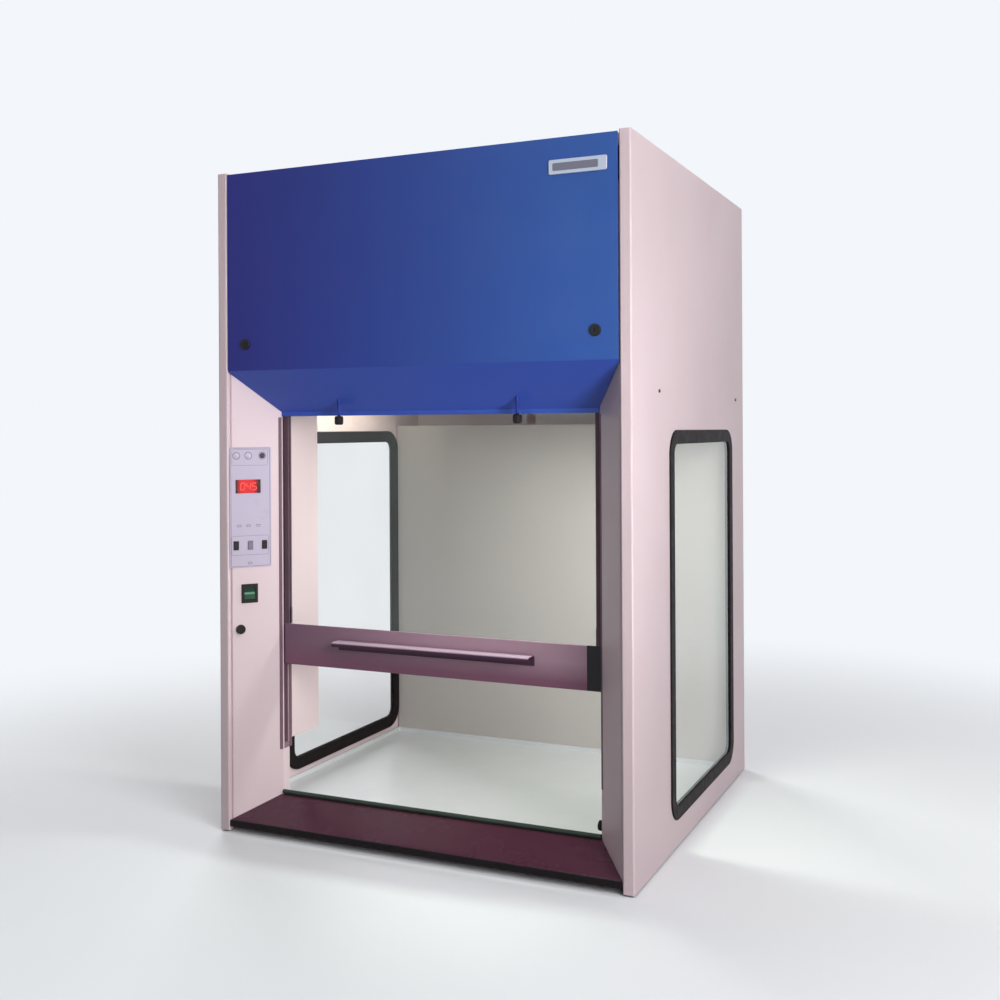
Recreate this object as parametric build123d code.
from build123d import *
import math
import os

# Bench fume hood with a counterbalanced glass sash.
# Millimetres. +X to the operator's right, +Y to the back, +Z up, origin on the bench under the middle.

# Cabinet
WIDTH = 800.0
DEPTH = 777.0
HEIGHT = 1215.0
SHEET = 2.0
BEND = 1.0
PAST = 1.0
FIT_GAP = 0.3
FOOT_HEIGHT = 12.0
FOOT_RADIUS = 18.0
FOOT_INSET = 70.0
FOOT_TAPER = 3.0
SKIRT_GAP = 3.0
FLANGE = 20.0
FLANGE_RETURN = 14.0

# Front frame: two bevelled pillars, a bevelled sill and the lip of the header door
PILLAR_SETBACK = 3.0
PILLAR_LEG = 9.0
PILLAR_BEND = 0.5
BEVEL_RUN = 63.0
BEVEL_DEPTH = 79.0
PILLAR_RETURN = 22.0
PILLAR_TOP_GAP = 80.0
SILL_FRONT_TOP = 22.0
SILL_REAR_TOP = 57.0
SILL_REAR_RETURN = 17.0
SILL_GAP = 0.5
SEAL_RADIUS = 4.0
SEAL_HEIGHT = 7.0
SEAL_FOOT = 3.0

# Header door
HEADER_FACE = 365.0
HEADER_LIP_DEPTH = 81.0
HEADER_LIP_DROP = 75.0
HEADER_HEM = 8.0
HEADER_GAP = 2.0
LIP_GAP = 1.0
WEDGE_REACH = 3.0
HEADER_TOP_GAP = 3.0
LOCK_INSET = 41.0
LOCK_RISE = 48.0
LOCK_RIM_RADIUS = 10.0
LOCK_BARREL_RADIUS = 8.0
LOCK_CORE_RADIUS = 6.0
LOCK_PROUD = 4.0
LOCK_RIM_HEIGHT = 3.0
LOCK_EDGE = 1.0
KEY_SLOT = (1.5, 8.0, 3.0)
LOCK_DEPTH = 15.0
CAM_LENGTH = 23.0
CAM_WIDTH = 12.0
CAM_GAP = 2.0
CAM_HUB_RADIUS = 7.0
CAM_NUT_RADIUS = 5.5
CAM_NUT_HEIGHT = 3.0
KEEPER_REACH = 17.0
KEEPER_TONGUE = 19.0
KEEPER_GAP = 3.0
KEEPER_BEND = 0.4
KEEPER_HEIGHT = 40.0
PULL_INSET = 140.0
PULL_DEPTH = 60.0
PULL_RADIUS = 8.0
PULL_EDGE = 3.6
PULL_DROP = 100.0
PULL_STUD_RADIUS = 3.0
BADGE_WIDTH = 100.0
BADGE_HEIGHT = 24.0
BADGE_THICK = 2.0
BADGE_CORNER = 3.0
BADGE_EDGE = 0.5
BADGE_INSET = 19.0
BADGE_DROP = 51.0

# Header hinges
HINGE_INSET = 140.0
HINGE_LENGTH = 60.0
HINGE_LEAF = 1.2
HINGE_KNUCKLE = 3.0
HINGE_PIN = 1.5
HINGE_DROP = 9.0
HINGE_LEAF_WIDTH = 24.0
HINGE_END_GAP = 0.3
HINGE_SHEET_GAP = 0.5

# Base
WORKTOP_TOP = 32.0
WORKTOP_SHEET = 3.0
WORKTOP_RIM = 8.0
WORKTOP_RIM_WIDTH = 4.5
WORKTOP_CORNER = 5.0
WORKTOP_GAP = 2.0
PAN_SHELF = 14.0
PAN_FRONT = 18.0

# Back, ceiling and top
BAFFLE_GAP = 112.0
BAFFLE_TOP_GAP = 50.0
BAFFLE_FLANGE = 25.0
STANDOFF_INSET = 120.0
STANDOFF_RADIUS = 6.0
CEILING_DROP = 50.0
GRILLE_COLUMNS = 9
GRILLE_ROWS = 8
GRILLE_PITCH_X = 48.0
GRILLE_PITCH_Y = 44.0
GRILLE_SLOT = 36.0
GRILLE_SLOT_WIDTH = 17.5
TOP_FLANGE = 20.0
TOP_DROP = 2.0
TOP_FRONT = 16.0
COLLAR_RADIUS = 100.0
COLLAR_HEIGHT = 70.0
COLLAR_FLANGE = 14.0
COLLAR_SCREWS = 6
COLLAR_HOLE = 2.2

# Side windows, held in H-section rubber
WINDOW_FRONT = 219.0
WINDOW_BACK_GAP = 125.0
WINDOW_BOTTOM = 62.0
WINDOW_TOP_GAP = 75.0
WINDOW_CORNER = 32.0
GASKET_WIDTH = 25.0
GASKET_THICK = 11.0
GASKET_WEB = 6.0
GASKET_PROUD = 3.0
GASKET_SLIP = 0.2
WINDOW_GLASS = 5.0

# Sash
SASH_DEPTH = 93.0
SASH_GLASS = 5.0
GLASS_EDGE = 0.8
SASH_BOTTOM = 300.0
SASH_RAIL_HEIGHT = 76.0
SASH_TOP_GAP = 212.0
SASH_RAIL_WALL = 3.7
SASH_RAIL_BACK = 30.0
SASH_RAIL_FLOOR = 6.0
SASH_RAIL_EDGE = 1.2
SASH_SIDE_GAP = 1.5
SASH_FIT = 0.3
END_CAP_WIDTH = 25.0
HANDLE_LENGTH = 390.0
HANDLE_TOP = 353.0
HANDLE_REACH = 28.0
HANDLE_LEG = 18.0
HANDLE_LIP = 8.0
HANDLE_SHEET = 2.5
HANDLE_BEND = 2.0
GLIDE_HEIGHT = 30.0
GLIDE_GRIP = 9.0
GLIDE_RUNNING_GAP = 0.8
CABLE_ENTRY = 9.0
TRACK_BOTTOM = 140.0
TRACK_WALL = 1.5
TRACK_WIDTH = 16.0
TRACK_DEPTH = 15.0
TRACK_PLUG = 10.0
SLOT_WIDTH = 16.0
BUMPER_Z = 75.0
BUMPER_RADIUS = 8.5
BUMPER_REACH = 9.0
BUMPER_EDGE = 2.0

# Counterbalance
HOUSING_BOTTOM = 156.0
HOUSING_REAR = 205.0
WEIGHT_GAP = 10.0
WEIGHT_DEPTH = 143.0
WEIGHT_SIDE = 60.0
WEIGHT_LENGTH = 127.0
WEIGHT_BOTTOM = 400.0
WEIGHT_EDGE = 5.0
PULLEY_DROP = 43.0
PULLEY_WIDTH = 10.0
PULLEY_RIM = 3.5
PULLEY_LIP = 1.2
PULLEY_HUB = 4.5
AXLE_RADIUS = 4.0
AXLE_HEAD = 1.5
CABLE_RADIUS = 1.0
CABLE_GAP = 0.3
CHEEK = 2.0
CHEEK_GAP = 0.5

# Filter, fan and lamp
FILTER_WIDTH = 480.0
FILTER_LENGTH = 390.0
FILTER_HEIGHT = 100.0
FILTER_BACK_GAP = 67.0
FILTER_SLIP = 3.0
FILTER_CORNER = 5.0
FILTER_FRAME = 20.0
FILTER_GROOVES = 11
FILTER_PITCH = 32.0
FILTER_GROOVE_WIDTH = 22.0
FILTER_GROOVE = 8.0
PLENUM = 28.0
FAN_INLET = 80.0
FAN_RADIUS = 120.0
FAN_HEIGHT = 80.0
FAN_BLADES = 9
FAN_PLATE = 2.0
FAN_GAP = 12.0
NOZZLE_GAP = 2.0
BLADE_THICK = 2.0
BLADE_MARGIN = 4.0
BLADE_SWEEP = 38.0
BLADE_BOW = 13.0
MOTOR_RADIUS = 60.0
MOTOR_HEIGHT = 90.0
SHAFT_RADIUS = 6.0
SHAFT_LENGTH = 24.0
SHAFT_GAP = 0.05
HUB_RADIUS = 18.0
HUB_LENGTH = 24.0
HUB_PROUD = 2.0
MOTOR_GAP = 6.0
MOTOR_FINS = 24
MOTOR_FIN_GAP = 6.0
MOTOR_FIN_DEPTH = 5.0
MOTOR_END = 12.0
BRACKET_WIDTH = 130.0
BRACKET_HEIGHT = 30.0
BRACKET_EAR = 10.0
BRACKET_DROP = 20.0
LAMP_GAP = 37.0
LAMP_DEPTH = 140.0
LAMP_WIDTH = 40.0
LAMP_SPLAY = 6.0
LAMP_DROP = 14.0
TUBE_RADIUS = 8.0
TUBE_DROP = 18.0
TUBE_CAP = 14.0
HOLDER_THICK = 12.0
HOLDER_MARGIN = 1.0

# Controls on the left pillar, placed along its bevel and by height
CONTROL_SKIN = 0.8
OVERLAY_WIDTH = 78.0
OVERLAY_MIDDLE = 40.5
OVERLAY_HEIGHT = 224.0
OVERLAY_DROP = 140.0
OVERLAY_CORNER = 3.0
DISPLAY_ALONG = 36.0
DISPLAY_DROP = 73.5
DISPLAY_WIDTH = 47.0
DISPLAY_HEIGHT = 25.0
DISPLAY_RIM = 2.0
DISPLAY_PROUD = 1.6
DISPLAY_EDGE = 0.6
BUTTON_PITCH = 26.8
BUTTON_ALONG = 39.8
BUTTON_DROP = 183.0
BUTTON_WIDTH = 9.5
BUTTON_HEIGHT = 16.0
BUTTON_PROUD = 2.2
BUTTON_GAP = 0.35
BUTTON_EDGE = 0.7
BUTTON_STOP = 2.0
BUTTON_STOP_GAP = 0.2
BUTTON_BAR = 1.0
BUTTON_TRAVEL = 1.5
SWITCH_ALONG = 38.0
SWITCH_DROP = 48.5
SWITCH_WIDTH = 31.0
SWITCH_HEIGHT = 35.0
SWITCH_RIM = 3.5
SWITCH_PROUD = 2.5
SWITCH_EDGE = 1.0
SWITCH_WALL = 1.5
SWITCH_LENGTH = 20.0
ROCKER_TILT = 10.0
ROCKER_DEPTH = 4.0
ROCKER_FACE = 6.0
ROCKER_SKIRT = 4.0
ROCKER_DISH = 1.2
ROCKER_PIN = 1.5
ROCKER_SIDE_GAP = 0.5
ROCKER_END_GAP = 0.8
FUSE_ALONG = 20.5
FUSE_DROP = 65.5
FUSE_RADIUS = 8.5
FUSE_CAP = 6.0
FUSE_EDGE = 1.5
FUSE_BARREL_RADIUS = 5.6
FUSE_BARREL = 28.0
FUSE_SLOT = (1.6, 10.0, 1.5)
BOARD_STANDOFF = 13.0
BOARD_THICK = 1.6
BOARD_SHIFT = 6.0
BOARD_MARGIN = 4.0
BOARD_POST = 5.0
BOARD_CONTACT = 6.0

# Mains inlet on the back
INLET_INSET = 100.0
INLET_Z = 90.0
INLET_PROUD = 4.0
INLET_FLANGE = (50.0, 26.0)
INLET_BODY = (27.4, 23.4)
INLET_SOCKET = (24.4, 16.4)
INLET_CORNER = 4.0
INLET_LENGTH = 22.0
INLET_FLOOR = 4.0
INLET_PIN = (2.0, 4.0)
INLET_PIN_SPREAD = 7.0
INLET_PIN_RISE = 2.5
INLET_PIN_DEPTH = 9.0

# Places that follow from the sizes above
FRONT = -DEPTH / 2
BACK = DEPTH / 2
SIDE = WIDTH / 2
INNER_SIDE = SIDE - SHEET
PILLAR_OUTER = SIDE - FLANGE
PILLAR_INNER = PILLAR_OUTER - BEVEL_RUN
PILLAR_EDGE = FRONT + PILLAR_SETBACK + BEVEL_DEPTH
PILLAR_BACK = PILLAR_EDGE + PILLAR_RETURN
PILLAR_TOP = HEIGHT - PILLAR_TOP_GAP
BEVEL_LENGTH = math.hypot(BEVEL_RUN, BEVEL_DEPTH)
HEADER_FOLD = HEIGHT - HEADER_FACE
LOCK_X = PILLAR_OUTER - LOCK_INSET
LOCK_Z = HEADER_FOLD + LOCK_RISE
PULL_X = PILLAR_INNER - PULL_INSET
PULL_BOTTOM = HEADER_FOLD - PULL_DROP
BADGE_X = PILLAR_OUTER - BADGE_INSET - BADGE_WIDTH / 2
BADGE_Z = HEIGHT - BADGE_DROP
HINGE_X = PILLAR_OUTER - HINGE_INSET
WORKTOP_FLOOR = WORKTOP_TOP - WORKTOP_SHEET
TOP_Z = HEIGHT - TOP_DROP
CEILING_Z = HEADER_FOLD - CEILING_DROP
BAFFLE_FACE = BACK - BAFFLE_GAP
BAFFLE_TOP = CEILING_Z - BAFFLE_TOP_GAP
WINDOW_REAR = DEPTH - WINDOW_BACK_GAP
WINDOW_TOP = CEILING_Z - WINDOW_TOP_GAP
SASH_Y = FRONT + SASH_DEPTH
SASH_TOP = HEIGHT - SASH_TOP_GAP
WEIGHT_X = INNER_SIDE - WEIGHT_GAP - WEIGHT_SIDE / 2
PULLEY_Z = HEIGHT - PULLEY_DROP
FILTER_Y = BACK - FILTER_BACK_GAP - FILTER_LENGTH / 2
LAMP_LENGTH = 2 * (PILLAR_INNER - LAMP_GAP)
OVERLAY_TOP = HEADER_FOLD - OVERLAY_DROP
OVERLAY_BOTTOM = OVERLAY_TOP - OVERLAY_HEIGHT
DISPLAY_Z = OVERLAY_TOP - DISPLAY_DROP
BUTTON_Z = OVERLAY_TOP - BUTTON_DROP
SWITCH_Z = OVERLAY_BOTTOM - SWITCH_DROP
FUSE_Z = SWITCH_Z - FUSE_DROP
INLET_X = INLET_INSET - SIDE
LEFT_BEVEL = Plane(
    origin=(-PILLAR_OUTER, FRONT + PILLAR_SETBACK, 0),
    x_dir=(BEVEL_RUN, BEVEL_DEPTH, 0),
    z_dir=(BEVEL_DEPTH, -BEVEL_RUN, 0),
)
BEVEL_OUTWARD = Axis(LEFT_BEVEL.origin, LEFT_BEVEL.z_dir)


def offset_points(points, thickness):
    """The same open path moved to its left by the sheet's thickness, with mitred corners."""
    normals = []
    for (x0, y0), (x1, y1) in zip(points, points[1:]):
        length = math.hypot(x1 - x0, y1 - y0)
        normals.append((-(y1 - y0) / length, (x1 - x0) / length))
    moved = []
    for i, (x, y) in enumerate(points):
        before = normals[max(i - 1, 0)]
        after = normals[min(i, len(normals) - 1)]
        share = thickness / (1 + before[0] * after[0] + before[1] * after[1])
        moved.append((x + (before[0] + after[0]) * share, y + (before[1] + after[1]) * share))
    return moved


def folded_section(points, thickness=SHEET, bend=BEND):
    """Section of a folded sheet: the path is one face and the sheet lies on its left."""
    other = offset_points(points, thickness)
    section = Polygon(*points, *reversed(other), align=None)
    for i in range(1, len(points) - 1):
        ax, ay = points[i][0] - points[i - 1][0], points[i][1] - points[i - 1][1]
        bx, by = points[i + 1][0] - points[i][0], points[i + 1][1] - points[i][1]
        turns_left = ax * by - ay * bx > 0
        path_radius = bend + thickness if turns_left else bend
        other_radius = bend if turns_left else bend + thickness
        for place, radius in ((points[i], path_radius), (other[i], other_radius)):
            corner = section.vertices().sort_by_distance((*place, 0))[0]
            section = fillet(corner, radius)
    return section


def upright(section, bottom, top):
    """A plan section carried straight up from one height to another."""
    return extrude(Plane.XY.offset(bottom) * section, top - bottom)


def lengthwise(section, left, right):
    """A section drawn in depth and height, carried from left to right."""
    return extrude(Plane.YZ.offset(left) * section, right - left)


def block(x, y, z):
    """A rectangular piece between two values each way."""
    middle = Location(((x[0] + x[1]) / 2, (y[0] + y[1]) / 2, (z[0] + z[1]) / 2))
    return middle * Box(x[1] - x[0], y[1] - y[0], z[1] - z[0])


def rod(start, axis, radius, length):
    """A round piece that starts at a point and runs along an axis."""
    return Plane(origin=start, z_dir=axis) * Cylinder(
        radius, length, align=(Align.CENTER, Align.CENTER, Align.MIN)
    )


def on_bevel(along, height, out, width, tall, thick):
    """A block on the left pillar's bevel, from the given distance out of its face."""
    centre = Location((along, height, out))
    return LEFT_BEVEL * centre * Box(width, tall, thick, align=(Align.CENTER, Align.CENTER, Align.MIN))


def mirrored(piece):
    """The right-hand twin of a left-hand piece."""
    return mirror(piece, Plane.YZ)


def pillar_wedge(gap):
    """All that lies outboard of the left pillar's bevel face, and up to a gap in front of it."""
    shift = gap * BEVEL_LENGTH / BEVEL_DEPTH
    reach = WEDGE_REACH
    near = (-PILLAR_OUTER - BEVEL_RUN * reach + shift, FRONT + PILLAR_SETBACK - BEVEL_DEPTH * reach)
    far = (-PILLAR_INNER + BEVEL_RUN * reach + shift, PILLAR_EDGE + BEVEL_DEPTH * reach)
    outside = -WIDTH
    plan = Polygon(near, far, (outside, far[1]), (outside, near[1]), align=None)
    return upright(plan, -HEIGHT, 2 * HEIGHT)


def window_ring(grow, x0, x1):
    """A rounded rectangle of the window's size plus a margin, as a slab in the left side wall."""
    length = WINDOW_REAR - WINDOW_FRONT + 2 * grow
    tall = WINDOW_TOP - WINDOW_BOTTOM + 2 * grow
    shape = RectangleRounded(length, tall, WINDOW_CORNER + grow)
    centre = (FRONT + (WINDOW_FRONT + WINDOW_REAR) / 2, (WINDOW_BOTTOM + WINDOW_TOP) / 2)
    return lengthwise(Pos(*centre) * shape, x0, x1)


def side_panel():
    """Left side: one sheet with a folded front flange and return, a rear flange and the window hole."""
    path = [
        (-PILLAR_OUTER, FRONT + FLANGE_RETURN),
        (-PILLAR_OUTER, FRONT),
        (-SIDE, FRONT),
        (-SIDE, BACK),
        (-PILLAR_OUTER, BACK),
    ]
    section = folded_section(list(reversed(path)))
    hole = window_ring(GASKET_WEB / 2, -SIDE - SHEET, -SIDE + 2 * SHEET)
    return upright(section, SKIRT_GAP, HEIGHT) - hole


def window_gasket():
    """Rubber H-section round the left window: an outer slot grips the sheet, an inner one the glass."""
    outer_face = -SIDE - GASKET_PROUD
    inner_face = outer_face + GASKET_THICK
    half = GASKET_WIDTH / 2
    ring = window_ring(half, outer_face, inner_face) - window_ring(-half, outer_face, inner_face)
    rims = ring.edges().group_by(Axis.X)[0] + ring.edges().group_by(Axis.X)[-1]
    ring = chamfer(rims, GASKET_PROUD / 2)
    sheet_slot = window_ring(half * 2, -SIDE, -SIDE + SHEET)
    sheet_slot -= window_ring(GASKET_WEB / 2, -SIDE, -SIDE + SHEET)
    glass_faces = window_glass_faces()
    slot_faces = (glass_faces[0] - GASKET_SLIP, glass_faces[1] + GASKET_SLIP)
    glass_slot = window_ring(-GASKET_WEB / 2, *slot_faces)
    return ring - sheet_slot - glass_slot


def window_glass_faces():
    """Where the left window's two faces lie, centred in its gasket."""
    middle = -SIDE - GASKET_PROUD + GASKET_THICK / 2
    return (middle - WINDOW_GLASS / 2, middle + WINDOW_GLASS / 2)


def window_glass():
    """Clear pane of the left window."""
    return window_ring(-GASKET_WEB / 2 - GASKET_SLIP, *window_glass_faces())


def pillar():
    """Left pillar: one sheet folded into a bevel, an inner return with the sash slot, and a back leg."""
    path = [
        (-PILLAR_OUTER, FRONT + PILLAR_SETBACK + PILLAR_LEG),
        (-PILLAR_OUTER, FRONT + PILLAR_SETBACK),
        (-PILLAR_INNER, PILLAR_EDGE),
        (-PILLAR_INNER, PILLAR_BACK),
        (-INNER_SIDE, PILLAR_BACK),
    ]
    post = upright(folded_section(path, bend=PILLAR_BEND), FOOT_HEIGHT + SHEET, PILLAR_TOP)
    half = SLOT_WIDTH / 2
    slot = block(
        (-PILLAR_INNER - SHEET - PAST, -PILLAR_INNER + PAST),
        (SASH_Y - half, SASH_Y + half),
        (TRACK_BOTTOM, HEIGHT),
    )
    return post - slot


def left_pillar_holes():
    """Cut-outs in the left pillar for the display, buttons, switch and fuse."""
    deep = -SHEET - PAST
    tall = SHEET + 2 * PAST
    display = (DISPLAY_WIDTH - 2 * DISPLAY_RIM, DISPLAY_HEIGHT - 2 * DISPLAY_RIM)
    holes = [on_bevel(DISPLAY_ALONG, DISPLAY_Z, deep, *display, tall)]
    for i in (-1, 0, 1):
        along = BUTTON_ALONG + i * BUTTON_PITCH
        width = BUTTON_WIDTH + 2 * BUTTON_GAP
        holes.append(on_bevel(along, BUTTON_Z, deep, width, BUTTON_HEIGHT + 2 * BUTTON_GAP, tall))
    width = SWITCH_WIDTH - 2 * SWITCH_RIM
    holes.append(on_bevel(SWITCH_ALONG, SWITCH_Z, deep, width, SWITCH_HEIGHT - 2 * SWITCH_RIM, tall))
    fuse = LEFT_BEVEL * Location((FUSE_ALONG, FUSE_Z, deep))
    fuse_hole = FUSE_BARREL_RADIUS + FIT_GAP
    holes.append(fuse * Cylinder(fuse_hole, tall, align=(Align.CENTER, Align.CENTER, Align.MIN)))
    return holes


def front_sill():
    """Bevelled sill between the pillars, with a front edge, a lower return and a rear drop."""
    face = FRONT + PILLAR_SETBACK
    bottom = FOOT_HEIGHT - SHEET
    path = [
        (face + PAN_FRONT, bottom),
        (face, bottom),
        (face, SILL_FRONT_TOP),
        (PILLAR_EDGE, SILL_REAR_TOP),
        (PILLAR_EDGE, SILL_REAR_TOP - SILL_REAR_RETURN),
    ]
    section = folded_section(list(reversed(path)))
    sill = lengthwise(section, -PILLAR_OUTER, PILLAR_OUTER)
    wedge = pillar_wedge(SILL_GAP)
    return sill - wedge - mirrored(wedge)


def sill_seal():
    """Rubber strip glued to the sill's rear drop, with a bulb that stands above the edge."""
    bulb_z = SILL_REAR_TOP + SEAL_HEIGHT - SEAL_RADIUS
    foot_z = SILL_REAR_TOP - SILL_REAR_RETURN + SHEET
    foot = Pos(PILLAR_EDGE + SEAL_FOOT / 2, (bulb_z + foot_z) / 2) * Rectangle(SEAL_FOOT, bulb_z - foot_z)
    bulb = Pos(PILLAR_EDGE, bulb_z) * Circle(SEAL_RADIUS)
    reach = PILLAR_INNER - SILL_GAP
    return lengthwise(foot + bulb, -reach, reach)


def header_path():
    """Outer face of the header door, from its top edge down to the hem."""
    return [
        (FRONT, HEIGHT - HEADER_TOP_GAP),
        (FRONT, HEADER_FOLD),
        (FRONT + HEADER_LIP_DEPTH, HEADER_FOLD - HEADER_LIP_DROP),
        (FRONT + HEADER_LIP_DEPTH, HEADER_FOLD - HEADER_LIP_DROP - HEADER_HEM),
    ]


def header_panel():
    """Header door: one sheet folded back into a lip that is mitred against both pillars."""
    reach = PILLAR_OUTER - HEADER_GAP
    door = lengthwise(folded_section(header_path()), -reach, reach)
    wedge = pillar_wedge(LIP_GAP) & block((-WIDTH, WIDTH), (-DEPTH, DEPTH), (0, HEADER_FOLD - LIP_GAP))
    door = door - wedge - mirrored(wedge)
    for side in (-1, 1):
        door -= rod((side * LOCK_X, FRONT - PAST, LOCK_Z), (0, 1, 0), LOCK_BARREL_RADIUS, SHEET + 2 * PAST)
    return door


def lock_sleeve(side):
    """Fixed ring and barrel of a header lock."""
    start = FRONT - LOCK_RIM_HEIGHT
    rim = rod((side * LOCK_X, start, LOCK_Z), (0, 1, 0), LOCK_RIM_RADIUS, LOCK_RIM_HEIGHT)
    rim = chamfer(rim.edges().group_by(Axis.Y)[0], LOCK_EDGE)
    barrel = rod((side * LOCK_X, FRONT, LOCK_Z), (0, 1, 0), LOCK_BARREL_RADIUS, LOCK_DEPTH)
    bore_length = LOCK_RIM_HEIGHT + LOCK_DEPTH + 2 * PAST
    bore = rod((side * LOCK_X, start - PAST, LOCK_Z), (0, 1, 0), LOCK_CORE_RADIUS, bore_length)
    return rim + barrel - bore


def lock_core(side):
    """Turning core of a header lock with its key slot, and the cam on its end."""
    x = side * LOCK_X
    start = FRONT - LOCK_PROUD
    cam_front = FRONT + LOCK_DEPTH + CAM_GAP
    core = rod((x, start, LOCK_Z), (0, 1, 0), LOCK_CORE_RADIUS - SHAFT_GAP, cam_front - start)
    wide, tall, deep = KEY_SLOT
    key = block(
        (x - wide / 2, x + wide / 2),
        (start - PAST, start + deep),
        (LOCK_Z - tall / 2, LOCK_Z + tall / 2),
    )
    half = CAM_WIDTH / 2
    tip_z = LOCK_Z + CAM_LENGTH - half
    arm = block((x - half, x + half), (cam_front, cam_front + SHEET), (LOCK_Z, tip_z))
    tip = rod((x, cam_front, tip_z), (0, 1, 0), half, SHEET)
    hub = rod((x, cam_front, LOCK_Z), (0, 1, 0), CAM_HUB_RADIUS, SHEET)
    nut_face = Plane(origin=(x, cam_front + SHEET, LOCK_Z), z_dir=(0, 1, 0))
    nut = nut_face * extrude(RegularPolygon(CAM_NUT_RADIUS, 6), CAM_NUT_HEIGHT)
    return core - key + arm + tip + hub + nut


def lock_keeper():
    """Left keeper: a strip folded off the pillar's bevel, which the cam turns behind."""
    slope = BEVEL_RUN / BEVEL_DEPTH
    depth = LOCK_DEPTH + CAM_GAP - KEEPER_GAP - SHEET
    foot = depth + KEEPER_REACH

    def on_face(y):
        return (-PILLAR_OUTER + (y - PILLAR_SETBACK) * slope, FRONT + y)

    start = on_face(depth)
    section = folded_section([on_face(foot), start, (start[0] + KEEPER_TONGUE, start[1])], bend=KEEPER_BEND)
    return upright(section, LOCK_Z - KEEPER_HEIGHT / 2, LOCK_Z + KEEPER_HEIGHT / 2)


def header_pull(side):
    """Small round knob on a stud under the header's lip."""
    centre = (side * PULL_X, FRONT + PULL_DEPTH)
    knob = rod((*centre, PULL_BOTTOM), (0, 0, 1), PULL_RADIUS, 2 * PULL_RADIUS)
    knob = fillet(knob.edges().filter_by(GeomType.CIRCLE), PULL_EDGE)
    stud = rod((*centre, PULL_BOTTOM + PULL_RADIUS), (0, 0, 1), PULL_STUD_RADIUS, 2 * HEADER_LIP_DROP)
    path = header_path()
    above = Polygon(path[1], path[2], (path[2][0], HEIGHT), (path[1][0], HEIGHT), align=None)
    return knob + (stud - lengthwise(above, -WIDTH, WIDTH))


def badge_plate():
    """Plain plate on the header, with softened corners."""
    plate = block(
        (BADGE_X - BADGE_WIDTH / 2, BADGE_X + BADGE_WIDTH / 2),
        (FRONT - BADGE_THICK, FRONT),
        (BADGE_Z - BADGE_HEIGHT / 2, BADGE_Z + BADGE_HEIGHT / 2),
    )
    plate = fillet(plate.edges().filter_by(Axis.Y), BADGE_CORNER)
    return chamfer(plate.faces().sort_by(Axis.Y)[0].edges(), BADGE_EDGE)


HINGE_Y = FRONT + SHEET + HINGE_KNUCKLE + HINGE_SHEET_GAP
HINGE_Z = HEIGHT - HINGE_DROP


def hinge_barrel(start, length, radius=HINGE_KNUCKLE):
    """A length of the header hinge's barrel."""
    return rod((start, HINGE_Y, HINGE_Z), (1, 0, 0), radius, length)


def hinge_fixed(side):
    """Cabinet half of a header hinge: a cranked leaf, two knuckles and the pin riveted in them."""
    left = side * HINGE_X - HINGE_LENGTH / 2
    third = HINGE_LENGTH / 3
    web = block(
        (left, left + HINGE_LENGTH),
        (HINGE_Y, FRONT + TOP_FRONT - HINGE_LEAF),
        (HINGE_Z - HINGE_KNUCKLE, HINGE_Z - HINGE_KNUCKLE + HINGE_LEAF),
    )
    web -= block((left + third, left + 2 * third), (FRONT, HINGE_Y + HINGE_KNUCKLE + PAST), (0, HEIGHT))
    back_leaf = block(
        (left, left + HINGE_LENGTH),
        (FRONT + TOP_FRONT - HINGE_LEAF, FRONT + TOP_FRONT),
        (TOP_Z - TOP_FLANGE, HINGE_Z - HINGE_KNUCKLE + HINGE_LEAF),
    )
    knuckles = hinge_barrel(left, third - HINGE_END_GAP)
    knuckles += hinge_barrel(left + 2 * third + HINGE_END_GAP, third - HINGE_END_GAP)
    return web + back_leaf + knuckles + hinge_barrel(left, HINGE_LENGTH, HINGE_PIN)


def hinge_moving(side):
    """Door half of a header hinge: a flat leaf and the middle knuckle."""
    left = side * HINGE_X - HINGE_LENGTH / 2
    third = HINGE_LENGTH / 3
    leaf = block(
        (left + third, left + 2 * third),
        (FRONT + SHEET, FRONT + SHEET + HINGE_LEAF),
        (HINGE_Z - HINGE_LEAF_WIDTH, HINGE_Z),
    )
    leaf += block(
        (left, left + HINGE_LENGTH),
        (FRONT + SHEET, FRONT + SHEET + HINGE_LEAF),
        (HINGE_Z - HINGE_LEAF_WIDTH, HINGE_Z - HINGE_KNUCKLE - HINGE_SHEET_GAP),
    )
    knuckle = hinge_barrel(left + third, third)
    return leaf + knuckle - hinge_barrel(left, HINGE_LENGTH, HINGE_PIN + SHAFT_GAP)


def base_pan():
    """Base pan: a sheet turned up at both sides and folded in under the worktop, cut back at the pillars."""
    shelf = INNER_SIDE - SHEET - PAN_SHELF
    path = [
        (-shelf, WORKTOP_FLOOR),
        (-INNER_SIDE, WORKTOP_FLOOR),
        (-INNER_SIDE, FOOT_HEIGHT),
        (INNER_SIDE, FOOT_HEIGHT),
        (INNER_SIDE, WORKTOP_FLOOR),
        (shelf, WORKTOP_FLOOR),
    ]
    section = folded_section(path)
    length = DEPTH - PAN_FRONT - 2 * SHEET
    front_face = Plane(origin=(0, FRONT + PAN_FRONT, 0), x_dir=(1, 0, 0), z_dir=(0, -1, 0))
    pan = extrude(front_face * section, -length)
    for side in (-1, 1):
        x = sorted((side * (shelf - PAST), side * WIDTH))
        pan -= block(x, (FRONT, PILLAR_BACK + WORKTOP_GAP), (FOOT_HEIGHT + SHEET, HEIGHT))
    return pan


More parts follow.
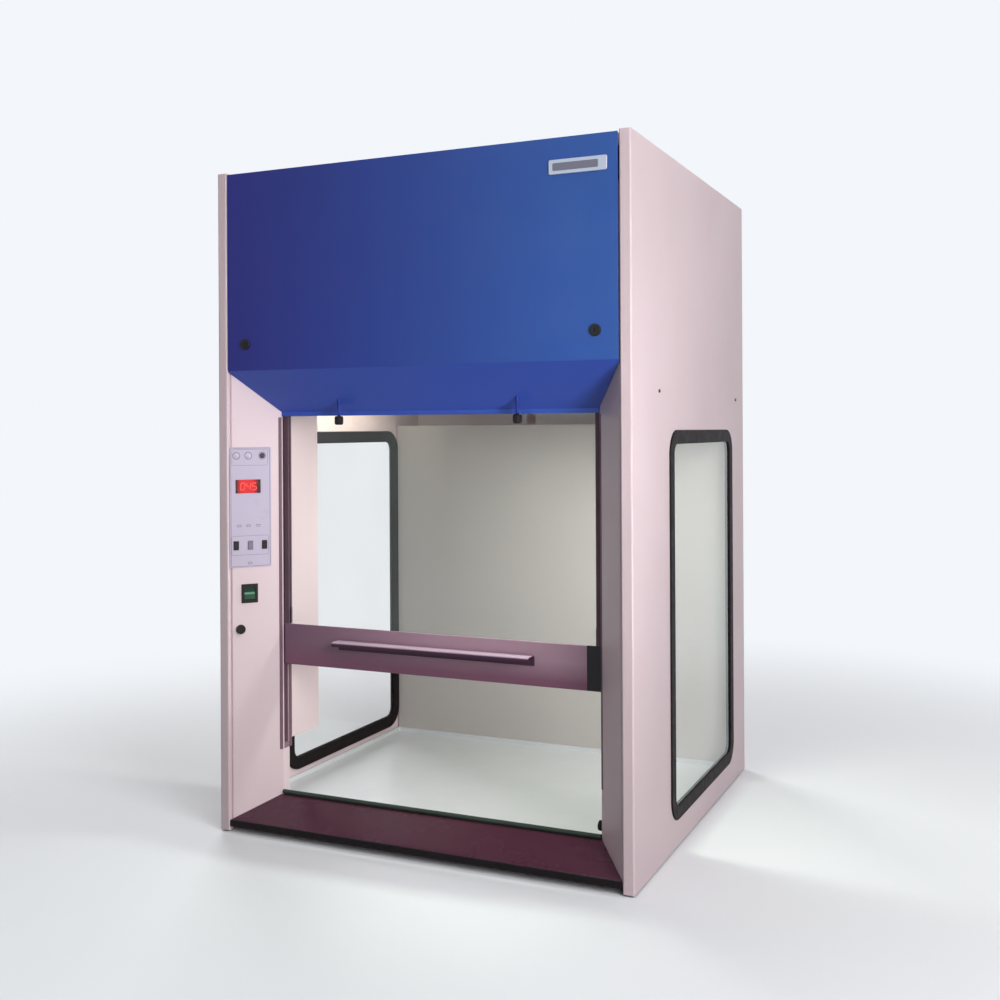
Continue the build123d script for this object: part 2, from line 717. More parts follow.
def worktop():
    """Dished worktop: one moulded tray with a raised rim."""
    wide = INNER_SIDE - WORKTOP_GAP
    front = PILLAR_BACK - PILLAR_RETURN + SHEET + WORKTOP_GAP
    rear = BAFFLE_FACE
    tray = block((-wide, wide), (front, rear), (WORKTOP_FLOOR, WORKTOP_TOP + WORKTOP_RIM))
    tray = fillet(tray.edges().filter_by(Axis.Z), WORKTOP_CORNER)
    rim = WORKTOP_RIM_WIDTH
    dish = block((-wide + rim, wide - rim), (front + rim, rear - rim), (WORKTOP_TOP, HEIGHT))
    dish = fillet(dish.edges().filter_by(Axis.Z), WORKTOP_CORNER)
    foot = PILLAR_INNER - WORKTOP_GAP
    for side in (-1, 1):
        x = sorted((side * foot, side * WIDTH))
        tray -= block(x, (front - PAST, PILLAR_BACK + WORKTOP_GAP), (0, HEIGHT))
    return tray - dish


def foot(x, y):
    """Rubber foot with a tapered side."""
    disc = rod((x, y, 0), (0, 0, 1), FOOT_RADIUS, FOOT_HEIGHT)
    return chamfer(disc.edges().group_by(Axis.Z)[0], FOOT_TAPER)


def rear_panel():
    """Outer back sheet, screwed to the rear flanges of both sides, with the inlet's cut-out."""
    panel = block(
        (BEND - INNER_SIDE, INNER_SIDE - BEND),
        (BACK - 2 * SHEET, BACK - SHEET),
        (FOOT_HEIGHT + SHEET, TOP_Z - SHEET),
    )
    wide, tall = INLET_BODY[0] / 2 + FIT_GAP, INLET_BODY[1] / 2 + FIT_GAP
    return panel - block(
        (INLET_X - wide, INLET_X + wide),
        (BACK - 2 * SHEET - PAST, BACK),
        (INLET_Z - tall, INLET_Z + tall),
    )


def rear_baffle():
    """Inner back wall: a sheet flanged back along each side, with its top edge short of the ceiling."""
    wide = INNER_SIDE - WORKTOP_GAP
    face = BAFFLE_FACE
    path = [(-wide, face + BAFFLE_FLANGE), (-wide, face), (wide, face), (wide, face + BAFFLE_FLANGE)]
    baffle = upright(folded_section(path), WORKTOP_FLOOR, BAFFLE_TOP)
    standoffs = []
    for side in (-1, 1):
        for z in (WORKTOP_FLOOR + STANDOFF_INSET, BAFFLE_TOP - STANDOFF_INSET):
            start = (side * (wide - STANDOFF_INSET), face + SHEET, z)
            standoffs.append(rod(start, (0, 1, 0), STANDOFF_RADIUS, BACK - 2 * SHEET - face - SHEET))
    return baffle + standoffs


def chamber_ceiling():
    """Ceiling sheet with a field of slots under the filter, cut round the pillars and housings."""
    depth = (PILLAR_BACK, BACK - 2 * SHEET)
    plate = block((-INNER_SIDE, INNER_SIDE), depth, (CEILING_Z, CEILING_Z + SHEET))
    for side in (-1, 1):
        x = sorted((side * (PILLAR_INNER - FIT_GAP), side * WIDTH))
        plate -= block(x, (PILLAR_BACK - PAST, FRONT + HOUSING_REAR + FIT_GAP), (0, HEIGHT))
    slot = SlotOverall(GRILLE_SLOT, GRILLE_SLOT_WIDTH)
    slots = GridLocations(GRILLE_PITCH_X, GRILLE_PITCH_Y, GRILLE_COLUMNS, GRILLE_ROWS) * slot
    field = Sketch() + [Pos(0, FILTER_Y) * one for one in slots]
    return plate - upright(field, CEILING_Z - PAST, CEILING_Z + SHEET + PAST)


def top_panel():
    """Roof tray with its flanges turned down and a hole for the exhaust."""
    front = FRONT + TOP_FRONT
    rear = BACK - 2 * SHEET
    tray = block((-INNER_SIDE, INNER_SIDE), (front, rear), (TOP_Z - TOP_FLANGE, TOP_Z))
    hollow = block(
        (-INNER_SIDE + SHEET, INNER_SIDE - SHEET),
        (front + SHEET, rear - SHEET),
        (0, TOP_Z - SHEET),
    )
    hole = rod((0, FILTER_Y, 0), (0, 0, 1), COLLAR_RADIUS - SHEET, 2 * HEIGHT)
    return tray - hollow - hole


def exhaust_collar():
    """Flanged spigot that a round duct slides over."""
    flange = rod((0, FILTER_Y, TOP_Z), (0, 0, 1), COLLAR_RADIUS + COLLAR_FLANGE, SHEET)
    tube = rod((0, FILTER_Y, TOP_Z), (0, 0, 1), COLLAR_RADIUS, COLLAR_HEIGHT)
    bore = rod((0, FILTER_Y, TOP_Z - PAST), (0, 0, 1), COLLAR_RADIUS - SHEET, COLLAR_HEIGHT + 2 * PAST)
    start = (COLLAR_RADIUS + COLLAR_FLANGE / 2, 0, TOP_Z - PAST)
    screw_hole = rod(start, (0, 0, 1), COLLAR_HOLE, SHEET + 2 * PAST)
    step = 360 / COLLAR_SCREWS
    holes = [Pos(0, FILTER_Y, 0) * Rot(0, 0, step * (i + 0.5)) * screw_hole for i in range(COLLAR_SCREWS)]
    return flange + tube - bore - holes


def service_housing():
    """Left housing of the counterweight: a sheet folded round three sides, with a floor."""
    path = [
        (-INNER_SIDE, PILLAR_BACK),
        (-PILLAR_INNER, PILLAR_BACK),
        (-PILLAR_INNER, FRONT + HOUSING_REAR),
        (-INNER_SIDE, FRONT + HOUSING_REAR),
    ]
    walls = upright(folded_section(path), HOUSING_BOTTOM, PILLAR_TOP)
    return walls + block(
        (-INNER_SIDE, -PILLAR_INNER - SHEET),
        (PILLAR_BACK + SHEET, FRONT + HOUSING_REAR - SHEET),
        (HOUSING_BOTTOM, HOUSING_BOTTOM + SHEET),
    )


def sash_track():
    """Left guide: a channel behind the pillar's slot, closed by a plug at its lower end."""
    mouth = -PILLAR_INNER - SHEET
    half = TRACK_WIDTH / 2
    y = (SASH_Y - half, SASH_Y + half)
    channel = block((mouth - TRACK_DEPTH, mouth), y, (TRACK_BOTTOM, PILLAR_TOP))
    hollow = block(
        (mouth - TRACK_DEPTH + TRACK_WALL, mouth + PAST),
        (SASH_Y - half + TRACK_WALL, SASH_Y + half - TRACK_WALL),
        (TRACK_BOTTOM + TRACK_PLUG, HEIGHT),
    )
    nose = block(
        (mouth, -PILLAR_INNER),
        (SASH_Y - SLOT_WIDTH / 2 + SASH_FIT, SASH_Y + SLOT_WIDTH / 2 - SASH_FIT),
        (TRACK_BOTTOM + SASH_FIT, TRACK_BOTTOM + TRACK_PLUG),
    )
    return channel - hollow + nose


def sash_bumper():
    """Rubber button on the right pillar that the closed sash comes down on."""
    button = rod((PILLAR_INNER, SASH_Y, BUMPER_Z), (-1, 0, 0), BUMPER_RADIUS, BUMPER_REACH)
    return fillet(button.edges().group_by(Axis.X)[0], BUMPER_EDGE)


def sash_glass():
    """Clear pane of the sash, held in the rail below and guided at both edges."""
    half = SASH_GLASS / 2
    bottom = SASH_BOTTOM + SASH_RAIL_FLOOR
    pane = block((-RAIL_REACH, RAIL_REACH), (SASH_Y - half, SASH_Y + half), (bottom, SASH_TOP))
    return chamfer(pane.faces().sort_by(Axis.Z)[-1].edges().filter_by(Axis.X), GLASS_EDGE)


def rail_section():
    """Section of the sash rail: a tall front face, a groove for the glass and a low back wall."""
    glass_front = SASH_Y - SASH_GLASS / 2 - SASH_FIT
    glass_back = SASH_Y + SASH_GLASS / 2 + SASH_FIT
    floor = SASH_BOTTOM + SASH_RAIL_FLOOR
    section = Polygon(
        (glass_front - SASH_RAIL_WALL, SASH_BOTTOM),
        (glass_back + SASH_RAIL_WALL, SASH_BOTTOM),
        (glass_back + SASH_RAIL_WALL, SASH_BOTTOM + SASH_RAIL_BACK),
        (glass_back, SASH_BOTTOM + SASH_RAIL_BACK),
        (glass_back, floor),
        (glass_front, floor),
        (glass_front, SASH_BOTTOM + SASH_RAIL_HEIGHT),
        (glass_front - SASH_RAIL_WALL, SASH_BOTTOM + SASH_RAIL_HEIGHT),
        align=None,
    )
    rounded = [v for v in section.vertices() if v.X < glass_front - SASH_RAIL_WALL / 2]
    return fillet(rounded, SASH_RAIL_EDGE)


RAIL_REACH = PILLAR_INNER - SASH_SIDE_GAP
RAIL_FRONT = SASH_Y - SASH_GLASS / 2 - SASH_FIT - SASH_RAIL_WALL


def sash_rail():
    """Lower rail of the sash, as long as the opening less the end cap on its right."""
    return lengthwise(rail_section(), -RAIL_REACH, RAIL_REACH - END_CAP_WIDTH)


def sash_end_cap():
    """Moulded cap that carries the rail's section on to its right end."""
    return lengthwise(rail_section(), RAIL_REACH - END_CAP_WIDTH, RAIL_REACH)


def sash_handle():
    """Finger grip: one strip folded into a leg, a shelf and a lip."""
    path = [
        (RAIL_FRONT, HANDLE_TOP - HANDLE_LEG),
        (RAIL_FRONT, HANDLE_TOP),
        (RAIL_FRONT - HANDLE_REACH, HANDLE_TOP),
        (RAIL_FRONT - HANDLE_REACH, HANDLE_TOP - HANDLE_LIP),
    ]
    half = HANDLE_LENGTH / 2
    return lengthwise(folded_section(path, HANDLE_SHEET, HANDLE_BEND), -half, half)


def sash_glide(side, z):
    """Low-friction block that grips the edge of the glass and runs in the track."""
    half = TRACK_WIDTH / 2 - TRACK_WALL - GLIDE_RUNNING_GAP
    back = PILLAR_INNER + SHEET + TRACK_DEPTH - TRACK_WALL - GLIDE_RUNNING_GAP
    x = sorted((side * back, side * (RAIL_REACH - GLIDE_GRIP)))
    glide = block(x, (SASH_Y - half, SASH_Y + half), (z, z + GLIDE_HEIGHT))
    glass_half = SASH_GLASS / 2
    slot = block((-RAIL_REACH, RAIL_REACH), (SASH_Y - glass_half, SASH_Y + glass_half), (0, HEIGHT))
    return glide - slot


CABLE_X = PILLAR_INNER + CABLE_ENTRY
WEIGHT_Y = FRONT + WEIGHT_DEPTH
PULLEY_SPAN = math.hypot(WEIGHT_X - CABLE_X, WEIGHT_Y - SASH_Y)
PULLEY_RADIUS = PULLEY_SPAN / 2
PULLEY_AXIS = ((WEIGHT_Y - SASH_Y) / PULLEY_SPAN, (WEIGHT_X - CABLE_X) / PULLEY_SPAN, 0)
PULLEY_CENTRE = (-(CABLE_X + WEIGHT_X) / 2, (SASH_Y + WEIGHT_Y) / 2, PULLEY_Z)


def pulley_section():
    """Half section of the pulley: bore, web, rim and the round groove the cable lies in."""
    rim = PULLEY_RADIUS + PULLEY_RIM
    bore = AXLE_RADIUS + SHAFT_GAP
    half = PULLEY_WIDTH / 2
    outline = Pos((rim + bore) / 2, 0) * Rectangle(rim - bore, PULLEY_WIDTH)
    groove_radius = CABLE_RADIUS + CABLE_GAP
    outline -= Pos(PULLEY_RADIUS, 0) * Circle(groove_radius)
    outline -= Polygon(
        (PULLEY_RADIUS, -groove_radius),
        (rim, -half + PULLEY_LIP),
        (rim, half - PULLEY_LIP),
        (PULLEY_RADIUS, groove_radius),
        align=None,
    )
    inner, outer = bore + PULLEY_HUB, PULLEY_RADIUS - PULLEY_HUB
    for side in (-1, 1):
        outline -= Pos((inner + outer) / 2, side * half) * Rectangle(outer - inner, half)
    return outline


def pulley():
    """Left pulley of the sash cable."""
    turned = revolve(Plane.XZ * pulley_section(), Axis.Z)
    return Plane(origin=PULLEY_CENTRE, z_dir=PULLEY_AXIS) * turned


def pulley_bracket():
    """Left pulley's fork, hung from the roof, with its axle riveted across it."""
    away = PULLEY_WIDTH / 2 + CHEEK_GAP
    rim = PULLEY_RADIUS + PULLEY_RIM
    hang = TOP_Z - SHEET - PULLEY_Z
    fork = Plane(origin=PULLEY_CENTRE, x_dir=(-PULLEY_AXIS[1], PULLEY_AXIS[0], 0), z_dir=(0, 0, 1))
    arms = []
    for side in (-1, 1):
        cheek = Pos(0, side * (away + CHEEK / 2), hang / 2) * Box(rim, CHEEK, hang)
        ear = Pos(0, side * (away + CHEEK / 2), 0) * Rot(90, 0, 0) * Cylinder(rim / 2, CHEEK)
        arms += [cheek, ear]
    bridge = Pos(0, 0, hang - CHEEK / 2) * Box(rim, 2 * (away + CHEEK), CHEEK)
    axle = Rot(90, 0, 0) * Cylinder(AXLE_RADIUS, 2 * (away + CHEEK + AXLE_HEAD))
    return fork * (bridge + arms + axle)


def sash_cable():
    """Left cable: up from the sash's corner, over the pulley and down to the counterweight."""
    weight_top = WEIGHT_BOTTOM + WEIGHT_LENGTH
    rise = Line((-CABLE_X, SASH_Y, SASH_TOP), (-CABLE_X, SASH_Y, PULLEY_Z))
    over = ThreePointArc(
        (-CABLE_X, SASH_Y, PULLEY_Z),
        (PULLEY_CENTRE[0], PULLEY_CENTRE[1], PULLEY_Z + PULLEY_RADIUS),
        (-WEIGHT_X, WEIGHT_Y, PULLEY_Z),
    )
    drop = Line((-WEIGHT_X, WEIGHT_Y, PULLEY_Z), (-WEIGHT_X, WEIGHT_Y, weight_top))
    start = Plane(origin=(-CABLE_X, SASH_Y, SASH_TOP), z_dir=(0, 0, 1))
    return sweep(start * Circle(CABLE_RADIUS), rise + over + drop)


def counterweight():
    """Left counterweight: a cast bar with chamfered corners and top."""
    half = WEIGHT_SIDE / 2
    bar = block(
        (-WEIGHT_X - half, -WEIGHT_X + half),
        (WEIGHT_Y - half, WEIGHT_Y + half),
        (WEIGHT_BOTTOM, WEIGHT_BOTTOM + WEIGHT_LENGTH),
    )
    bar = chamfer(bar.edges().filter_by(Axis.Z), WEIGHT_EDGE)
    return chamfer(bar.faces().sort_by(Axis.Z)[-1].edges(), WEIGHT_EDGE)


def carbon_filter():
    """Carbon filter cartridge: a case with a field of ribs over its upper face."""
    wide, long = FILTER_WIDTH / 2, FILTER_LENGTH / 2
    bottom = CEILING_Z + SHEET
    case = block((-wide, wide), (FILTER_Y - long, FILTER_Y + long), (bottom, bottom + FILTER_HEIGHT))
    case = fillet(case.edges().filter_by(Axis.Z), FILTER_CORNER)
    top = bottom + FILTER_HEIGHT
    reach = wide - FILTER_FRAME
    half = FILTER_GROOVE_WIDTH / 2
    for i in range(FILTER_GROOVES):
        y = FILTER_Y + (i - (FILTER_GROOVES - 1) / 2) * FILTER_PITCH
        case -= block((-reach, reach), (y - half, y + half), (top - FILTER_GROOVE, top + PAST))
    return case


HOOD_TOP = CEILING_Z + SHEET + FILTER_HEIGHT + PLENUM


def filter_housing():
    """Box over the filter, open below, with the fan's inlet nozzle in its top."""
    wide = FILTER_WIDTH / 2 + FILTER_SLIP + SHEET
    long = FILTER_LENGTH / 2 + FILTER_SLIP + SHEET
    bottom = CEILING_Z + SHEET
    box = block((-wide, wide), (FILTER_Y - long, FILTER_Y + long), (bottom, HOOD_TOP))
    hollow = block(
        (SHEET - wide, wide - SHEET),
        (FILTER_Y - long + SHEET, FILTER_Y + long - SHEET),
        (0, HOOD_TOP - SHEET),
    )
    mouth = FAN_INLET + FAN_GAP
    throat = FAN_INLET - NOZZLE_GAP
    nozzle = Plane.XZ * Polygon(
        (mouth, HOOD_TOP - SHEET),
        (mouth + SHEET, HOOD_TOP - SHEET),
        (throat, HOOD_TOP + FAN_GAP),
        (throat - SHEET, HOOD_TOP + FAN_GAP),
        align=None,
    )
    hole = rod((0, FILTER_Y, 0), (0, 0, 1), mouth, 2 * HEIGHT)
    return box - hollow - hole + Pos(0, FILTER_Y, 0) * revolve(nozzle, Axis.Z)


FAN_BOTTOM = HOOD_TOP + FAN_GAP + NOZZLE_GAP
FAN_TOP = FAN_BOTTOM + FAN_HEIGHT


def fan_blade(turn):
    """One backward-curved blade, standing between the fan's two plates."""
    near, far = FAN_INLET + BLADE_MARGIN, FAN_RADIUS - BLADE_MARGIN
    angle = math.radians(BLADE_SWEEP)
    outer = (far * math.cos(angle), far * math.sin(angle))
    curve = ThreePointArc((near, 0), (near + BLADE_BOW, (far - near) - BLADE_BOW), outer)
    strip = sweep(Plane(origin=curve @ 0, z_dir=curve % 0) * Rectangle(BLADE_THICK, BLADE_THICK), curve)
    outline = strip.faces().sort_by(Axis.Z)[0]
    blade = extrude(outline, FAN_HEIGHT - FAN_PLATE, dir=(0, 0, 1))
    return Rot(0, 0, turn) * Pos(0, 0, FAN_PLATE / 2 + BLADE_THICK / 2) * blade


def blower_wheel():
    """Fan wheel: inlet ring below, backward-curved blades, back plate and hub above."""
    ring = Cylinder(FAN_RADIUS, FAN_PLATE, align=(Align.CENTER, Align.CENTER, Align.MIN))
    ring -= Cylinder(FAN_INLET, 2 * FAN_PLATE + PAST)
    plate = Pos(0, 0, FAN_HEIGHT - FAN_PLATE) * Cylinder(
        FAN_RADIUS, FAN_PLATE, align=(Align.CENTER, Align.CENTER, Align.MIN)
    )
    hub = Pos(0, 0, FAN_HEIGHT - HUB_LENGTH) * Cylinder(
        HUB_RADIUS, HUB_LENGTH + HUB_PROUD, align=(Align.CENTER, Align.CENTER, Align.MIN)
    )
    blades = [fan_blade(i * 360 / FAN_BLADES) for i in range(FAN_BLADES)]
    shaft = Pos(0, 0, FAN_HEIGHT) * Cylinder(
        SHAFT_RADIUS, SHAFT_LENGTH, align=(Align.CENTER, Align.CENTER, Align.MIN)
    )
    return Pos(0, FILTER_Y, FAN_BOTTOM) * (ring + plate + hub + blades + shaft)


MOTOR_BOTTOM = FAN_TOP + MOTOR_GAP


def blower_motor():
    """Fan motor with cooling fins, bored for its shaft and bolted under the bracket."""
    body = rod((0, FILTER_Y, MOTOR_BOTTOM), (0, 0, 1), MOTOR_RADIUS, MOTOR_HEIGHT)
    middle = MOTOR_BOTTOM + MOTOR_HEIGHT / 2
    tall = MOTOR_HEIGHT - 2 * MOTOR_END
    gap = Pos(MOTOR_RADIUS, 0, middle) * Box(2 * MOTOR_FIN_DEPTH, MOTOR_FIN_GAP, tall)
    step = 360 / MOTOR_FINS
    gaps = [Pos(0, FILTER_Y, 0) * Rot(0, 0, i * step) * gap for i in range(MOTOR_FINS)]
    bore = rod((0, FILTER_Y, MOTOR_BOTTOM - PAST), (0, 0, 1), SHAFT_RADIUS + SHAFT_GAP, SHAFT_LENGTH)
    return body - gaps - bore


def motor_bracket():
    """Channel across the cabinet that carries the motor, with an end plate on each side wall."""
    bottom = MOTOR_BOTTOM + MOTOR_HEIGHT
    half = BRACKET_WIDTH / 2
    path = [
        (FILTER_Y - half, bottom + BRACKET_HEIGHT),
        (FILTER_Y - half, bottom),
        (FILTER_Y + half, bottom),
        (FILTER_Y + half, bottom + BRACKET_HEIGHT),
    ]
    channel = lengthwise(folded_section(path), -INNER_SIDE, INNER_SIDE)
    for side in (-1, 1):
        x = sorted((side * INNER_SIDE, side * (INNER_SIDE - SHEET)))
        y = (FILTER_Y - half - BRACKET_EAR, FILTER_Y + half + BRACKET_EAR)
        channel += block(x, y, (bottom - BRACKET_DROP, bottom + BRACKET_HEIGHT))
    return channel


LAMP_Y = FRONT + LAMP_DEPTH
TUBE_Z = CEILING_Z - TUBE_DROP


def lamp_housing():
    """Folded lamp tray under the ceiling, with a holder at each end."""
    half = LAMP_LENGTH / 2
    back, edge = LAMP_WIDTH / 2, LAMP_WIDTH / 2 + LAMP_SPLAY
    path = [
        (LAMP_Y + edge, CEILING_Z - LAMP_DROP),
        (LAMP_Y + back, CEILING_Z),
        (LAMP_Y - back, CEILING_Z),
        (LAMP_Y - edge, CEILING_Z - LAMP_DROP),
    ]
    tray = lengthwise(folded_section(path), -half, half)
    bottom = TUBE_Z - TUBE_RADIUS - HOLDER_MARGIN
    reach = TUBE_RADIUS + HOLDER_MARGIN
    for side in (-1, 1):
        x = sorted((side * half, side * (half - HOLDER_THICK)))
        tray += block(x, (LAMP_Y - reach, LAMP_Y + reach), (bottom, CEILING_Z - PAST))
    return tray


def lamp_tube():
    """Fluorescent tube between the two holders, with its metal end caps."""
    half = LAMP_LENGTH / 2 - HOLDER_THICK
    tube = rod((-half, LAMP_Y, TUBE_Z), (1, 0, 0), TUBE_RADIUS - SHEET / 4, 2 * half)
    for start in (-half, half - TUBE_CAP):
        tube += rod((start, LAMP_Y, TUBE_Z), (1, 0, 0), TUBE_RADIUS, TUBE_CAP)
    return tube


def control_overlay():
    """Label plate of the controls, with openings for the display and the buttons."""
    tall = OVERLAY_TOP - OVERLAY_BOTTOM
    shape = RectangleRounded(OVERLAY_WIDTH, tall, OVERLAY_CORNER)
    plate = extrude(Pos(OVERLAY_MIDDLE, (OVERLAY_TOP + OVERLAY_BOTTOM) / 2) * shape, CONTROL_SKIN)
    plate = LEFT_BEVEL * plate
    deep = CONTROL_SKIN + 2 * PAST
    window = (DISPLAY_WIDTH + 2 * FIT_GAP, DISPLAY_HEIGHT + 2 * FIT_GAP)
    plate -= on_bevel(DISPLAY_ALONG, DISPLAY_Z, -PAST, *window, deep)
    key = (BUTTON_WIDTH + 2 * BUTTON_GAP, BUTTON_HEIGHT + 2 * BUTTON_GAP)
    for i in (-1, 0, 1):
        plate -= on_bevel(BUTTON_ALONG + i * BUTTON_PITCH, BUTTON_Z, -PAST, *key, deep)
    return plate


def display_window():
    """Tinted lens of the display, with a bezel step behind it."""
    lens = on_bevel(DISPLAY_ALONG, DISPLAY_Z, 0, DISPLAY_WIDTH, DISPLAY_HEIGHT, DISPLAY_PROUD)
    lens = chamfer(lens.faces().sort_by(BEVEL_OUTWARD)[-1].edges(), DISPLAY_EDGE)
    inset = 2 * (DISPLAY_RIM + FIT_GAP)
    back = (DISPLAY_WIDTH - inset, DISPLAY_HEIGHT - inset)
    return lens + on_bevel(DISPLAY_ALONG, DISPLAY_Z, -SHEET - PAST, *back, SHEET + PAST)


def button(place):
    """Push button through the pillar, with a stop bar behind the sheet."""
    along = BUTTON_ALONG + place * BUTTON_PITCH
    back = -SHEET - BUTTON_STOP_GAP
    cap = on_bevel(along, BUTTON_Z, back, BUTTON_WIDTH, BUTTON_HEIGHT, BUTTON_PROUD - back)
    cap = chamfer(cap.faces().sort_by(BEVEL_OUTWARD)[-1].edges(), BUTTON_EDGE)
    bar_tall = BUTTON_HEIGHT + 2 * BUTTON_STOP
    bar = on_bevel(along, BUTTON_Z, back - BUTTON_BAR, BUTTON_WIDTH - BUTTON_STOP, bar_tall, BUTTON_BAR)
    return cap + bar


SWITCH_THROAT = (SWITCH_WIDTH - 2 * (SWITCH_RIM + FIT_GAP), SWITCH_HEIGHT - 2 * (SWITCH_RIM + FIT_GAP))
SWITCH_WELL = (SWITCH_THROAT[0] - 2 * SWITCH_WALL, SWITCH_THROAT[1] - 2 * SWITCH_WALL)
ROCKER_PIVOT = LEFT_BEVEL * Location((SWITCH_ALONG, SWITCH_Z, -ROCKER_DEPTH))


def switch_frame():
    """Switch body with its square rim; the rocker's pivot pin crosses it."""
    rim = on_bevel(SWITCH_ALONG, SWITCH_Z, 0, SWITCH_WIDTH, SWITCH_HEIGHT, SWITCH_PROUD)
    rim = chamfer(rim.faces().sort_by(BEVEL_OUTWARD)[-1].edges(), SWITCH_EDGE)
    body = on_bevel(SWITCH_ALONG, SWITCH_Z, -SWITCH_LENGTH, *SWITCH_THROAT, SWITCH_LENGTH)
    floor = SWITCH_LENGTH - 2 * SWITCH_RIM
    well = on_bevel(SWITCH_ALONG, SWITCH_Z, -floor, *SWITCH_WELL, floor + SWITCH_PROUD + PAST)
    pin = ROCKER_PIVOT * Rot(0, 90, 0) * Cylinder(ROCKER_PIN, SWITCH_WELL[0] + SWITCH_WALL)
    return rim + body - well + pin


def rocker_switch():
    """Rocker with a dished face, pressed in at its top in the on position."""
    width = SWITCH_WELL[0] - 2 * ROCKER_SIDE_GAP
    half = SWITCH_WELL[1] / 2 - ROCKER_END_GAP
    profile = Polygon(
        (-half, ROCKER_FACE - ROCKER_SKIRT),
        (0, -ROCKER_FACE),
        (half, ROCKER_FACE - ROCKER_SKIRT),
        (half, ROCKER_FACE),
        (0, ROCKER_FACE - ROCKER_DISH),
        (-half, ROCKER_FACE),
        align=None,
    )
    side_on = Plane(origin=(-width / 2, 0, 0), x_dir=(0, 1, 0), z_dir=(1, 0, 0))
    key = extrude(side_on * profile, width)
    key -= Rot(0, 90, 0) * Cylinder(ROCKER_PIN + SHAFT_GAP, width + PAST)
    return ROCKER_PIVOT * Rot(-ROCKER_TILT / 2, 0, 0) * key


def fuse_holder():
    """Round fuse holder: a domed, slotted cap and a barrel behind the sheet."""
    cap = Cylinder(FUSE_RADIUS, FUSE_CAP, align=(Align.CENTER, Align.CENTER, Align.MIN))
    cap = fillet(cap.edges().group_by(Axis.Z)[-1], FUSE_EDGE)
    wide, long, deep = FUSE_SLOT
    cap -= Pos(0, 0, FUSE_CAP) * Box(wide, long, 2 * deep)
    barrel = Pos(0, 0, -FUSE_BARREL) * Cylinder(
        FUSE_BARREL_RADIUS, FUSE_BARREL, align=(Align.CENTER, Align.CENTER, Align.MIN)
    )
    return LEFT_BEVEL * Location((FUSE_ALONG, FUSE_Z, 0)) * (cap + barrel)


def control_board():
    """Circuit board behind the controls on four standoffs, with the readout and button contacts on it."""
    middle = (OVERLAY_TOP + OVERLAY_BOTTOM) / 2
    along = OVERLAY_MIDDLE + BOARD_SHIFT
    width = OVERLAY_WIDTH - BOARD_MARGIN
    tall = OVERLAY_TOP - OVERLAY_BOTTOM - BOARD_MARGIN
    face = -SHEET - BOARD_STANDOFF
    board = on_bevel(along, middle, face - BOARD_THICK, width, tall, BOARD_THICK)
    for u in (-1, 1):
        for v in (-1, 1):
            place = (along + u * (width / 2 - BOARD_POST), middle + v * (tall / 2 - BOARD_POST), face)
            board += LEFT_BEVEL * Location(place) * Cylinder(
                BOARD_POST / 2, BOARD_STANDOFF, align=(Align.CENTER, Align.CENTER, Align.MIN)
            )
    inset = 2 * (DISPLAY_RIM + PAST)
    readout = (DISPLAY_WIDTH - inset, DISPLAY_HEIGHT - inset)
    board += on_bevel(DISPLAY_ALONG, DISPLAY_Z, face, *readout, BOARD_STANDOFF - SHEET)
    contact = BOARD_STANDOFF - BUTTON_STOP_GAP - BUTTON_BAR - BUTTON_TRAVEL - FIT_GAP
    for i in (-1, 0, 1):
        x = BUTTON_ALONG + i * BUTTON_PITCH
        board += on_bevel(x, BUTTON_Z, face, BOARD_CONTACT, BOARD_CONTACT, contact)
    return board


def mains_inlet():
    """Mains inlet: a flanged body through the rear panel with a blind socket and three pins."""

    def centred(size, start, end):
        x, z = size[0] / 2, size[1] / 2
        return block((INLET_X - x, INLET_X + x), (start, end), (INLET_Z - z, INLET_Z + z))

    outer = BACK - SHEET
    face = BACK + INLET_PROUD
    floor = outer - INLET_LENGTH + INLET_FLOOR
    flange = centred(INLET_FLANGE, outer, face)
    flange = fillet(flange.edges().filter_by(Axis.Y), INLET_CORNER)
    body = centred(INLET_BODY, outer - INLET_LENGTH, outer)
    inlet = flange + body - centred(INLET_SOCKET, floor, face + PAST)
    wide, tall = INLET_PIN[0] / 2, INLET_PIN[1] / 2
    for place in (-1, 0, 1):
        x = INLET_X + place * INLET_PIN_SPREAD
        z = INLET_Z + (INLET_PIN_RISE if place == 0 else -INLET_PIN_RISE)
        inlet += block((x - wide, x + wide), (floor - PAST, face - INLET_PIN_DEPTH), (z - tall, z + tall))
    return inlet


def pair(make):
    """The same piece on the left and on the right, as two solids."""
    return [make(-1), make(1)]


def with_twin(piece):
    """A left-hand piece and its mirror image, as two solids."""
    return [piece, mirrored(piece)]


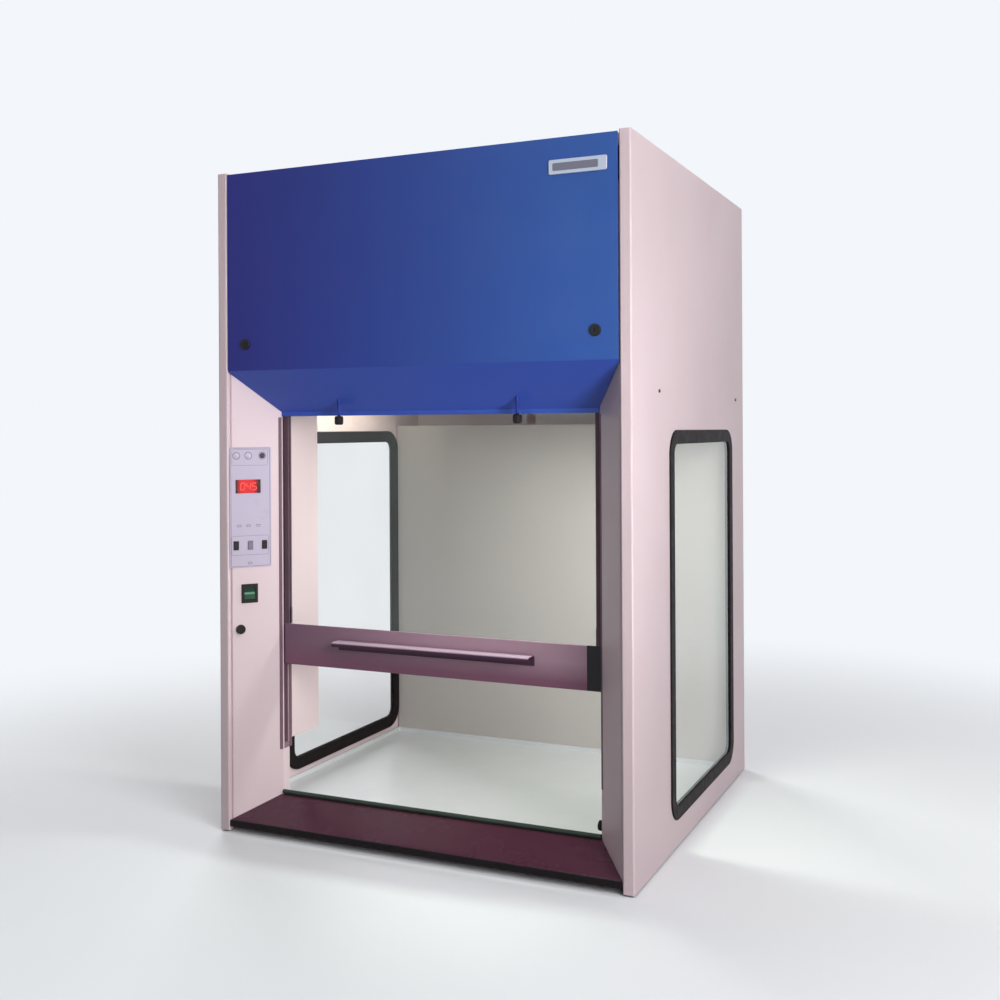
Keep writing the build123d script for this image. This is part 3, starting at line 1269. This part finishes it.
def parts():
    """Every node of the fume hood: its name and its solids."""
    post = pillar()
    left_post = post
    for hole in left_pillar_holes():
        left_post = left_post - hole
    lower_glide = SASH_BOTTOM + SASH_RAIL_HEIGHT
    upper_glide = SASH_TOP - GLIDE_HEIGHT
    made = {
        "side_panel_left": side_panel(),
        "side_panel_right": mirrored(side_panel()),
        "window_gasket_left": window_gasket(),
        "window_gasket_right": mirrored(window_gasket()),
        "window_glass_left": window_glass(),
        "window_glass_right": mirrored(window_glass()),
        "pillar_left": left_post,
        "pillar_right": mirrored(post),
        "front_sill": front_sill(),
        "sill_seal": sill_seal(),
        "header_panel": header_panel(),
        "header_lock_sleeves": pair(lock_sleeve),
        "lock_core_left": lock_core(-1),
        "lock_core_right": lock_core(1),
        "lock_keepers": with_twin(lock_keeper()),
        "header_pulls": pair(header_pull),
        "badge_plate": badge_plate(),
        "hinge_leaves_fixed": pair(hinge_fixed),
        "hinge_leaves_moving": pair(hinge_moving),
        "base_pan": base_pan(),
        "worktop": worktop(),
        "feet": [
            foot(x * (SIDE - FOOT_INSET), y * (DEPTH / 2 - FOOT_INSET)) for x in (-1, 1) for y in (-1, 1)
        ],
        "rear_panel": rear_panel(),
        "rear_baffle": rear_baffle(),
        "chamber_ceiling": chamber_ceiling(),
        "top_panel": top_panel(),
        "exhaust_collar": exhaust_collar(),
        "service_housing_left": service_housing(),
        "service_housing_right": mirrored(service_housing()),
        "sash_track_left": sash_track(),
        "sash_track_right": mirrored(sash_track()),
        "sash_bumper": sash_bumper(),
        "sash_glass": sash_glass(),
        "sash_rail": sash_rail(),
        "sash_end_cap": sash_end_cap(),
        "sash_handle": sash_handle(),
        "sash_glides": [sash_glide(side, z) for side in (-1, 1) for z in (lower_glide, upper_glide)],
        "pulley_left": pulley(),
        "pulley_right": mirrored(pulley()),
        "pulley_brackets": with_twin(pulley_bracket()),
        "counterweight_left": counterweight(),
        "counterweight_right": mirrored(counterweight()),
        "sash_cables": with_twin(sash_cable()),
        "carbon_filter": carbon_filter(),
        "filter_housing": filter_housing(),
        "blower_wheel": blower_wheel(),
        "blower_motor": blower_motor(),
        "motor_bracket": motor_bracket(),
        "lamp_housing": lamp_housing(),
        "lamp_tube": lamp_tube(),
        "control_overlay": control_overlay(),
        "display_window": display_window(),
        "button_left": button(-1),
        "button_middle": button(0),
        "button_right": button(1),
        "switch_frame": switch_frame(),
        "rocker_switch": rocker_switch(),
        "fuse_holder": fuse_holder(),
        "control_board": control_board(),
        "mains_inlet": mains_inlet(),
    }
    return made


def main():
    """Writes one STEP file for each node."""
    os.makedirs("parts", exist_ok=True)
    for name, made in parts().items():
        solids = made if isinstance(made, list) else [made]
        shape = Compound(children=solids) if len(solids) > 1 else solids[0]
        shape.label = name
        export_step(shape, f"parts/{name}.step")


main()
